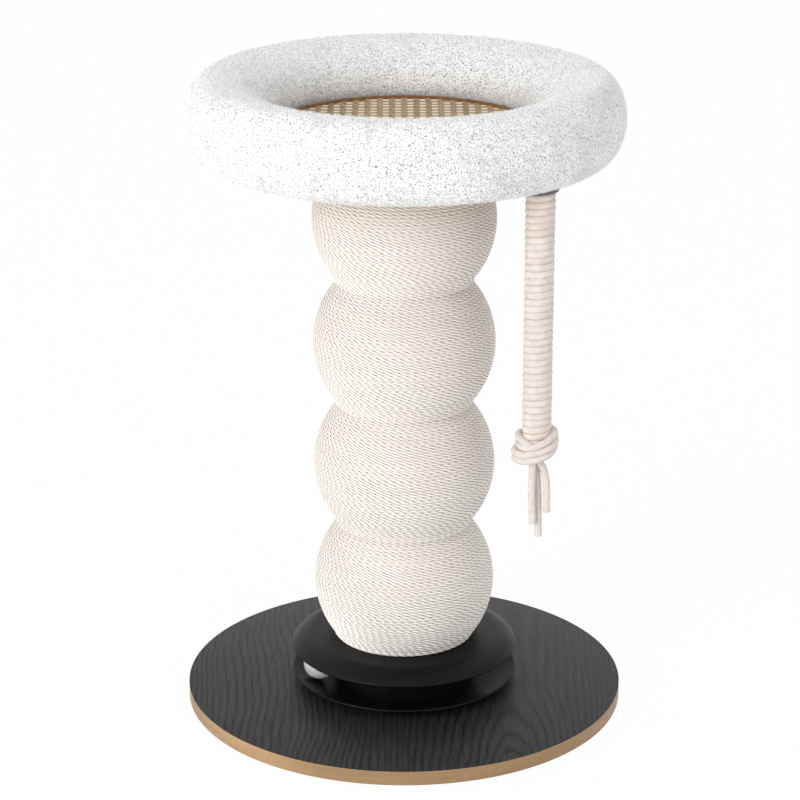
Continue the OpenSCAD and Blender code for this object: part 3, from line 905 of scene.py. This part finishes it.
@dataclass
class BallTrack:
    """The saucer, the dome and the hub between them, with the ball that runs round."""

    flat_lower: float = 66 * MM
    flat_upper: float = 82 * MM
    wall: float = 2.5 * MM
    bore: float = 4.4 * MM
    rise_lower: float = 9.5 * MM
    rise_upper: float = 11 * MM
    arc_steps: int = 24
    lip_steps: int = 8
    steps: int = 192

    def _dish(self, flat: float, rise: float, reach: float, foot: float, way: int) -> Outline:
        """Section of a dished disc with a round lip.

        Args:
            flat: Radius of its flat middle.
            rise: Rise of its rim.
            reach: Radius of its rim.
            foot: Height of its flat outer face.
            way: 1 where it rises outwards, -1 where it falls.

        Returns:
            The section's outline.
        """
        big = ((reach - flat) ** 2 + rise ** 2) / (2 * rise)
        sweep = math.asin((reach - flat) / big)
        angles = [sweep * i / self.arc_steps for i in range(self.arc_steps + 1)]
        lip = self.wall / 2
        middle = big - lip
        tip = sweep - lip / big
        outer = [(flat + big * math.sin(a), big * (1 - math.cos(a))) for a in angles if a < tip]
        inner = [(flat + (big - self.wall) * math.sin(a), big - (big - self.wall) * math.cos(a))
                 for a in reversed(angles) if a < tip]
        lip_r, lip_z = flat + middle * math.sin(tip), big - middle * math.cos(tip)
        turns = [tip - math.pi / 2 + math.pi * k / self.lip_steps
                 for k in range(self.lip_steps + 1)]
        lips = [(lip_r + lip * math.cos(turn), lip_z + lip * math.sin(turn)) for turn in turns]
        section = [(self.bore, 0.0)] + outer + lips + inner + [(self.bore, self.wall)]
        return [(radius, foot + way * height) for radius, height in section]

    def build(self) -> None:
        """Make the two discs and the ball, and dress the hub."""
        low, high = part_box("track_lower_disc")
        lower = turned(self._dish(self.flat_lower, self.rise_lower, high.x, low.z, 1), self.steps)
        piece("lower_saucer", lower, BLACK, Body.STAND, ("track_lower_disc",))
        low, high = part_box("track_upper_disc")
        upper = turned(self._dish(self.flat_upper, self.rise_upper, high.x, high.z, -1), self.steps)
        piece("upper_dome", upper, BLACK, Body.STAND, ("track_upper_disc",))
        dress({"track_hub": BLACK})
        low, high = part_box("track_ball")
        ball = bmesh.new()
        bmesh.ops.create_uvsphere(ball, u_segments=72, v_segments=48, radius=(high.z - low.z) / 2)
        bmesh.ops.translate(ball, verts=ball.verts, vec=(low + high) / 2)
        piece("chrome_ball", ball, CHROME, Body.BALL, ("track_ball",))


@dataclass
class RopePost:
    """Four bulges wound with laid rope."""

    bulge_r: float = 82 * MM
    pitch: float = 114 * MM
    foot: float = 54 * MM
    foot_turn_r: float = 63 * MM
    foot_turn_h: float = 3.6 * MM
    foot_ramp: float = 0.8 * MM
    first_z: float = 115 * MM
    rope_pitch: float = 3.07 * MM
    groove_depth: float = 0.46
    neck_fill: float = 13 * MM
    columns: int = 360
    rows: int = 6
    core_r: float = 78.5 * MM
    core_steps: int = 12
    seam_tilt: float = 1.5
    merge: float = 1e-5

    def _neck(self, height: np.ndarray, number: int) -> np.ndarray:
        """How far the rope stands out where two bulges meet, and at the post's foot.

        Args:
            height: Heights over the bulge's middle.
            number: The bulge's number.

        Returns:
            The distance to move outwards at each height.
        """
        own = np.sqrt(self.bulge_r ** 2 - height ** 2)
        other = np.sqrt(np.maximum(self.bulge_r ** 2 - (self.pitch - np.abs(height)) ** 2, 0.0))
        close = np.clip(1 - np.abs(own - other) / self.neck_fill, 0, 1)
        filled = close ** 2 * self.neck_fill / 4
        if number > 1:
            return filled
        foot_out = self.foot_turn_r - math.sqrt(self.bulge_r ** 2 - self.foot ** 2)
        share = np.clip((self.foot_turn_h - self.foot - height) / self.foot_ramp, 0, 1)
        return np.where(height < 0, foot_out * share, filled)

    def _wound(self, number: int) -> bmesh.types.BMesh:
        """Wind one bulge with a single rope, from its low end to its high end.

        Args:
            number: The bulge's number, from 1 at the bottom.

        Returns:
            The wound shape, open at its ends.
        """
        low = -self.foot if number == 1 else -self.pitch / 2
        rope_r = self.rope_pitch / 2
        line_r = self.bulge_r - rope_r
        start, end = math.asin(low / line_r), math.asin(self.pitch / 2 / line_r)
        reach = line_r * (end - start)
        turns = round(reach / self.rope_pitch)
        pitch = reach / turns
        angle = np.linspace(-0.5, turns + 0.5, (turns + 1) * self.columns + 1) * FULL_TURN
        latitude = start + np.clip(angle / FULL_TURN * pitch, 0, reach) / line_r
        steps = np.diff(angle) * self.bulge_r * np.cos(latitude[1:])
        length = np.concatenate([[0.0], np.cumsum(steps)])
        side = np.linspace(-math.pi / 2, math.pi / 2, self.rows + 1)
        climb, tilt = np.meshgrid(angle / FULL_TURN * pitch, side)
        turn, length = np.broadcast_to(angle, climb.shape), np.broadcast_to(length, climb.shape)
        phase = 3 * (tilt + FULL_TURN * length / ROPE.lay)
        groove = (0.5 + 0.5 * np.cos(phase)) ** 3 * np.cos(tilt) ** 0.5
        thick = rope_r * (1 - self.groove_depth * groove)
        edge = np.abs(tilt) > self.seam_tilt
        across = climb + np.where(edge, np.sign(tilt) * pitch / 2, thick * np.sin(tilt))
        clamped = np.clip(across, 0, reach)
        above = np.where(edge | (clamped != across), 0.0, thick * np.cos(tilt))
        latitude = start + clamped / line_r
        radius, height = (line_r + above) * np.cos(latitude), (line_r + above) * np.sin(latitude)
        radius = radius + self._neck(height, number)
        middle = self.first_z + (number - 1) * self.pitch
        uv = np.stack([length, tilt * ROPE.rope_r], axis=-1)
        return grid_shape(polar(radius, turn, middle + height), uv, self.merge)

    def _line(self, shape: bmesh.types.BMesh, middle: float) -> None:
        """Lead the low end inwards and up over the bulge's core to the high end.

        Args:
            shape: The wound shape, which becomes a closed shell.
            middle: Height of the bulge's middle.
        """
        rims = [edge for edge in shape.edges if edge.is_boundary]
        low = [edge for edge in rims if edge.verts[0].co.z < middle]
        high = [edge for edge in rims if edge.verts[0].co.z > middle]
        foot = low[0].verts[0].co.z - middle
        start, end = math.asin(foot / self.core_r), math.asin(self.pitch / 2 / self.core_r)
        for step in range(self.core_steps):
            low = self._led_on(shape, low, start + (end - start) * step / self.core_steps, middle)
        high = self._led_on(shape, high, end, middle)
        bmesh.ops.bridge_loops(shape, edges=low + high)
        bmesh.ops.recalc_face_normals(shape, faces=shape.faces)

    def _led_on(self, shape: bmesh.types.BMesh, rim: list[bmesh.types.BMEdge], tilt: float,
                middle: float) -> list[bmesh.types.BMEdge]:
        """Lead a rim on to the core, at one latitude.

        Args:
            shape: The shape that the rim belongs to.
            rim: The rim's edges.
            tilt: The latitude, in radians.
            middle: Height of the bulge's middle.

        Returns:
            The edges of the new rim.
        """
        made = bmesh.ops.extrude_edge_only(shape, edges=rim)
        edges = [item for item in made["geom"] if isinstance(item, bmesh.types.BMEdge)]
        radius, height = self.core_r * math.cos(tilt), middle + self.core_r * math.sin(tilt)
        for vertex in {vertex for edge in edges for vertex in edge.verts}:
            share = radius / math.hypot(vertex.co.x, vertex.co.y)
            vertex.co = (vertex.co.x * share, vertex.co.y * share, height)
        return edges

    def build(self) -> None:
        """Wind the four bulges and dress what is inside the post."""
        for number in range(1, 5):
            shape = self._wound(number)
            self._line(shape, self.first_z + (number - 1) * self.pitch)
            piece(f"rope_bulge_{number}", shape, ROPE, Body.STAND, (f"rope_wrap_{number}",), SMOOTH)
        inside = {f"bulge_core_{number}": PULP for number in range(1, 5)}
        dress({**inside, "lower_plug": PLUG_WOOD, "upper_plug": PLUG_WOOD, "lower_insert": ZINC,
               "upper_insert": ZINC, "post_tube": KRAFT})


@dataclass
class PlushRing:
    """The stuffed ring of the bed: a lumpy plush skin with its pile."""

    crest_r: float = 170 * MM
    out_w: float = 25 * MM
    in_w: float = 55 * MM
    inset: float = 2.8 * MM
    lump: float = 0.8 * MM
    broad_lumps: float = 42.0
    fine_lumps: float = 130.0
    section_steps: int = 96
    steps: int = 300
    fibre_groups: int = 4
    fibres: int = 46000
    fibre_l: float = 2.8 * MM
    fibre_r: float = 0.42 * MM
    fibre_lean: float = 1.1
    root_depth: float = 0.6 * MM
    cup_room: float = 18 * MM
    seed: int = 11

    @staticmethod
    def _half() -> float:
        """Half the ring's height."""
        low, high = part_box("ring_cover")
        return (high.z - low.z) / 2

    def _section(self, angle: np.ndarray) -> tuple[np.ndarray, np.ndarray]:
        """Radius and height of the skin's section at an angle from its outer side."""
        middle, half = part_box("ring_cover")[1].z - self._half(), self._half() - self.inset
        width = np.where(np.cos(angle) > 0, self.out_w, self.in_w) - self.inset
        return self.crest_r + width * np.cos(angle), middle + half * np.sin(angle)

    def _skin(self) -> bmesh.types.BMesh:
        """Turn the section and push it in and out by smooth noise."""
        angles = np.arange(self.section_steps) / self.section_steps * FULL_TURN
        radius, height = self._section(angles)
        shape = turned(list(zip(radius.tolist(), height.tolist())), self.steps)
        shape.normal_update()
        moves = []
        for vertex in shape.verts:
            broad = noise.noise(vertex.co * self.broad_lumps)
            fine = noise.noise(vertex.co * self.fine_lumps)
            moves.append(vertex.normal * (self.lump * (broad + 0.5 * fine)))
        for vertex, move in zip(shape.verts, moves):
            vertex.co += move
        return shape

    def _pile(self, random: np.random.Generator) -> bmesh.types.BMesh:
        """Scatter short pointed fibres over a share of the ring.

        Args:
            random: The source of random numbers.

        Returns:
            The fibres' shape.
        """
        _, board_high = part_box("top_board")
        cup_low, cup_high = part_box("toy_cup")
        cup = np.array(((cup_low + cup_high) / 2)[:2])
        count = self.fibres * 2
        angle = random.uniform(0, FULL_TURN, count)
        turn = random.uniform(0, FULL_TURN, count)
        radius, height = self._section(angle)
        keep = random.uniform(0, 1, count) < radius / (self.crest_r + self.out_w)
        keep &= ~((height < board_high.z) & (radius < board_high.x))
        spot = polar(radius, turn, height)[:, :2]
        keep &= (np.linalg.norm(spot - cup, axis=1) > self.cup_room) | (height > board_high.z)
        chosen = np.flatnonzero(keep)[:self.fibres]
        angle, turn, radius, height = angle[chosen], turn[chosen], radius[chosen], height[chosen]
        width = np.where(np.cos(angle) > 0, self.out_w, self.in_w)
        outwards = unit(polar(np.cos(angle) / width, turn, np.sin(angle) / self._half()))
        lean = random.normal(0, self.fibre_lean, (len(chosen), 3))
        direction = unit(outwards + lean - outwards * (lean * outwards).sum(1)[:, None])
        length = self.fibre_l * random.uniform(0.65, 1.25, len(chosen))
        root = polar(radius, turn, height) - outwards * self.root_depth
        side = unit(np.cross(direction, random.normal(0, 1, (len(chosen), 3))))
        third = np.cross(direction, side)
        corners = [root + self.fibre_r * (math.cos(a) * side + math.sin(a) * third)
                   for a in (0.0, FULL_TURN / 3, 2 * FULL_TURN / 3)]
        tips = root + direction * length[:, None]
        points = np.stack([*corners, tips], axis=1).reshape(-1, 3)
        first = np.arange(len(chosen))[:, None] * 4
        orders = ([0, 2, 1], [0, 1, 3], [1, 2, 3], [2, 0, 3])
        faces = np.concatenate([first + order for order in orders])
        mesh = bpy.data.meshes.new("pile")
        mesh.from_pydata(points.tolist(), [], faces.tolist())
        return taken_up(bmesh.new(), mesh)

    def build(self) -> None:
        """Make the skin and its pile."""
        skin = piece("plush_ring", self._skin(), PLUSH_BASE, Body.STAND,
                     ("ring_cover", "ring_filling"), SMOOTH)
        random = np.random.default_rng(self.seed)
        for group in range(1, self.fibre_groups + 1):
            piece(f"plush_pile_{group}", self._pile(random), PLUSH, Body.STAND, (), 30.0)


@dataclass
class WovenMat:
    """The loose mat: twined columns over straight pale and brown strips, with a bound edge."""

    pitch: float = 11.0 * MM
    column_w: float = 5.6 * MM
    pale_w: float = 5.9 * MM
    brown_w: float = 4.6 * MM
    strip_t: float = 0.55 * MM
    margin: float = 1.0 * MM
    backing_t: float = 0.5 * MM
    tape_lap: float = 1.2 * MM
    tape_round: float = 1.2 * MM
    twine_w: float = 0.56
    twine_lift: float = 1.1
    twine_wave: float = 0.35
    twine_steps: int = 6
    strip_steps: int = 12
    strip_sides: int = 8
    backing_steps: int = 96
    tape_steps: int = 192
    seed: int = 5

    def _add(self, whole: bmesh.types.BMesh, path: np.ndarray, width: float, shade: float,
             pale: float) -> None:
        """Add one flat strip to the weave.

        Args:
            whole: The weave so far.
            path: The strip's middle line.
            width: The strip's width.
            shade: Its own shade, 0 to 1.
            pale: 1 for a pale strip, 0 for a brown one.
        """
        upwards = np.tile((0.0, 0.0, 1.0), (len(path), 1))
        strip = swept(path, width / 2, self.strip_t / 2, self.strip_sides, upwards)
        for name, value in (("strip", shade), ("pale", pale)):
            layer = strip.verts.layers.float.new(name)
            for vertex in strip.verts:
                vertex[layer] = value
        taken_up(whole, used_up("strip", strip))

    @staticmethod
    def _half_chord(radius: float, place: float) -> float:
        """Half the length of a circle's chord at a distance from its middle."""
        return math.sqrt(max(radius ** 2 - place ** 2, 0.0))

    def _weave(self, radius: float, base: float) -> bmesh.types.BMesh:
        """All strips of the mat, cut to its round outline.

        Args:
            radius: The outline's radius.
            base: Height of the backing's top.

        Returns:
            The weave.
        """
        random = np.random.default_rng(self.seed)
        whole = bmesh.new()
        count = int(radius / self.pitch)
        low = base + self.strip_t / 2
        for k in range(-2 * count, 2 * count + 1):
            place, width = k * self.pitch / 2, self.pale_w if k % 2 else self.brown_w
            reach = self._half_chord(radius, abs(place) + width / 2)
            if reach > self.pitch:
                run = np.linspace(-reach, reach, self.strip_steps)
                path = np.array([(x, place, low) for x in run])
                self._add(whole, path, width, float(random.uniform(0, 1)), k % 2)
        for k in range(-count, count + 1):
            reach = self._half_chord(radius, abs(k) * self.pitch + self.column_w / 2)
            steps = math.ceil(reach * 2 / self.pitch * self.twine_steps)
            run = np.linspace(-reach, reach, steps + 1)
            for side in (-1, 1):
                sway = side * self.column_w / 4 * np.cos(math.pi * run / self.pitch)
                wave = self.twine_wave * side * np.sin(math.pi * run / self.pitch)
                rise = low + self.strip_t * (self.twine_lift + wave)
                path = np.stack([k * self.pitch + sway, run, rise], axis=1)
                if reach > self.pitch:
                    width = self.column_w * self.twine_w
                    self._add(whole, path, width, float(random.uniform(0, 1)), 0.0)
        return whole

    def build(self) -> None:
        """Make the weave, its backing and its bound edge."""
        low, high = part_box("bed_mat")
        radius = high.x
        top = low.z + self.backing_t
        disc = turned(rectangle(0.0, radius, low.z, top), self.backing_steps)
        backing = piece("mat_backing", disc, PAD_CLOTH, Body.MAT)
        weave = piece("mat_weave", self._weave(radius + self.margin, top), CANE, Body.MAT,
                      ("bed_mat",), 60.0)
        low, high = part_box("mat_binding")
        tape = rectangle(radius - self.tape_lap, high.x, low.z, high.z)
        band = turned(rounded(tape, [self.tape_round] * 4, 5), self.tape_steps)
        edge = piece("mat_edge_tape", band, TAPE, Body.MAT, ("mat_binding",))


@dataclass
class Bed:
    """The board, pad, plush ring and mat on top of the post."""

    crown: float = 0.6 * MM
    low_round: float = 2.5 * MM
    high_round: float = 5 * MM
    steps: int = 160

    def build(self) -> None:
        """Make the pad, the ring and the mat, and dress the board and its bolt."""
        low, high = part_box("bed_pad")
        top = high.z - self.crown
        outline = rectangle(0.0, high.x, low.z, top)
        section = rounded(outline, [0, self.low_round, self.high_round, 0], 6)
        shape = turned(section, self.steps)
        for vertex in shape.verts:
            if vertex.co.z > top - 0.1 * MM:
                share = math.hypot(vertex.co.x, vertex.co.y) / high.x
                vertex.co.z += self.crown * (1 - share ** 2)
        pad = piece("seat_pad", shape, PAD_CLOTH, Body.STAND, ("bed_pad",))
        PlushRing().build()
        WovenMat().build()
        dress({"top_board": PLYWOOD, "top_washer": ZINC, "top_bolt": ZINC})


@dataclass
class CordToy:
    """The hanging toy: a cord bundle in a wound sleeve, with a knot and three tails."""

    cord_r: float = 2.75 * MM
    bundle_line: float = 3.25 * MM
    turns: int = 38
    sleeve_pitch: float = 6.1 * MM
    sleeve_line: float = 10.8 * MM
    sleeve_half_t: float = 2.1 * MM
    sleeve_stray: float = 0.28 * MM
    sleeve_overlap: float = 1.06
    stray_pace: float = 1.7
    turn_steps: int = 48
    knot_w: float = 3.5 * MM
    knot_half_t: float = 3.1 * MM
    tail_r: float = 3.2 * MM
    step: float = 1.0 * MM
    cord_sides: int = 16
    sleeve_sides: int = 12

    def _axis(self) -> Vector:
        """Where the toy's axis meets the floor."""
        low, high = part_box("toy_cup")
        middle = (low + high) / 2
        return Vector((middle.x, middle.y, 0.0))

    def _sleeve(self) -> bmesh.types.BMesh:
        """Wind the sleeve: one cord, turn against turn."""
        _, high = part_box("toy_winding")
        axis = np.array(self._axis())
        top = high.z - self.cord_r
        start = top - self.turns * self.sleeve_pitch
        turn = np.linspace(0, self.turns, self.turns * self.turn_steps + 1)
        angle = turn * FULL_TURN
        paces = turn * self.stray_pace
        stray = np.array([[noise.noise(Vector((pace, row, 0.0))) for pace in paces]
                          for row in (0.5, 9.5)])
        line = self.sleeve_line + self.sleeve_stray * stray[0]
        height = start + turn * self.sleeve_pitch + self.sleeve_stray * stray[1]
        width = self.sleeve_pitch / 2 * self.sleeve_overlap
        path = polar(line, angle, height) + axis
        return swept(path, width, self.sleeve_half_t, self.sleeve_sides, polar(1.0, angle, 0.0))

    def _bundle(self) -> bmesh.types.BMesh:
        """The three cords inside the sleeve."""
        low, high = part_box("toy_core")
        axis = self._axis()
        whole = bmesh.new()
        for start in self._starts():
            made = bmesh.ops.create_cone(whole, cap_ends=True, segments=self.cord_sides,
                                         radius1=self.cord_r, radius2=self.cord_r,
                                         depth=high.z - low.z)
            place = Vector((axis.x + start.x, axis.y + start.y, (low.z + high.z) / 2))
            bmesh.ops.translate(whole, verts=made["verts"], vec=place)
        return whole

    def _starts(self) -> list[Vector]:
        """Where the three cords lie in the bundle, about the toy's axis."""
        angles = [math.radians(degrees) for degrees in (210, 90, 330)]
        reach = self.bundle_line
        return [Vector((reach * math.cos(angle), reach * math.sin(angle), 0.0))
                for angle in angles]

    def _placed(self, points: list[Place], base: float) -> list[Place]:
        """Bring points in millimetres to the toy's axis and a height."""
        axis = self._axis()
        return [(axis.x + x * MM, axis.y + y * MM, base + z * MM) for x, y, z in points]

    def _knot_route(self) -> list[Place]:
        """The knot's cord: three times round aslant, then down inside its own turns."""
        low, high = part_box("toy_knot")
        points = [(-14, 10, -8), (-18.5, -1, -9.8), (-12, -13.5, -8.8), (0, -17, -6),
                  (10, -13.5, -2.5), (15, -3, 1), (12.5, 9, 3), (2, 14.5, 2), (-11, 12, -1),
                  (-18.5, 2, -3.5), (-16, -8, -3.8), (-9, -15, -2.6), (1, -17.5, 0.3),
                  (10.5, -14, 3.8), (15.8, -4, 7.3), (13, 9, 9), (2, 14.5, 8), (-10, 12.5, 5),
                  (-15, 4, 2.8), (-13.5, -7, 2.4), (-7.5, -14.5, 3.4), (1, -17, 6.5),
                  (9.5, -13, 10), (15, -4, 13), (12.5, 7, 14), (2, 13, 13), (-9, 11, 10),
                  (-15, 3, 10.5), (-14.5, -5, 9), (-8.5, -11.5, 6), (-3, -13.5, 3)]
        return self._placed(points, (low.z + high.z) / 2)

    def _tail_routes(self) -> dict[str, list[Place]]:
        """The three tails' routes, from the bundle's end down."""
        low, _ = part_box("toy_core")
        offsets = {
            "left": [(-3.2, -1.9, -17), (-3.6, -2.2, -29), (-3.4, -2.4, -41), (-2.9, -2.3, -52.5),
                     (-2.4, -2.2, -63.5)],
            "middle": [(0.8, 3.6, -17), (1.8, 3.8, -29), (2.4, 3.6, -41), (2.6, 3.2, -53),
                       (2.9, 2.9, -65), (3.2, 2.6, -77.5)],
            "right": [(6.5, -2.2, -13), (8.8, -2.4, -23), (9.4, -2.4, -34), (9.6, -2.4, -44),
                      (9.7, -2.2, -52.7)],
        }
        routes = {}
        for (name, points), start in zip(offsets.items(), self._starts()):
            first = [(start.x / MM, start.y / MM, 0.0), (start.x / MM, start.y / MM, -5.5)]
            routes[name] = self._placed(first + points, low.z)
        return routes

    def build_tails(self) -> None:
        """Make the three hanging tails."""
        for number, (name, route) in enumerate(self._tail_routes().items(), 1):
            path = smooth_route(route, self.step)
            shape = swept(path, self.tail_r, self.tail_r, self.cord_sides)
            tail = piece(f"cord_tail_{name}", shape, CORD, Body.TOY, (f"toy_tail_{number}",), 50.0)

    def build(self) -> None:
        """Make the sleeve, the bundle and the knot, and dress the holder."""
        piece("cord_sleeve", self._sleeve(), CORD, Body.TOY, ("toy_winding",), 60.0)
        piece("cord_bundle", self._bundle(), CORD, Body.TOY, ("toy_core",))
        path = smooth_route(self._knot_route(), self.step)
        knot = swept(path, self.knot_w, self.knot_half_t, self.cord_sides)
        piece("cord_knot", knot, CORD, Body.TOY, ("toy_knot",), 60.0)
        dress({"toy_cup": CUP_PLASTIC, "toy_cup_screws": ZINC, "toy_cup_pin": ZINC,
               "toy_link": ZINC, "toy_cap": ZINC, "toy_cap_pin": ZINC})


def main() -> None:
    """Build the whole scene in order."""
    logging.basicConfig(level=logging.INFO, format="%(name)s %(message)s")
    Camera().build()
    toy = CordToy()
    toy.build_tails()
    BaseBoard().build()
    BallTrack().build()
    RopePost().build()
    Bed().build()
    toy.build()
    Studio().build()


if __name__ == "__main__":
    main()
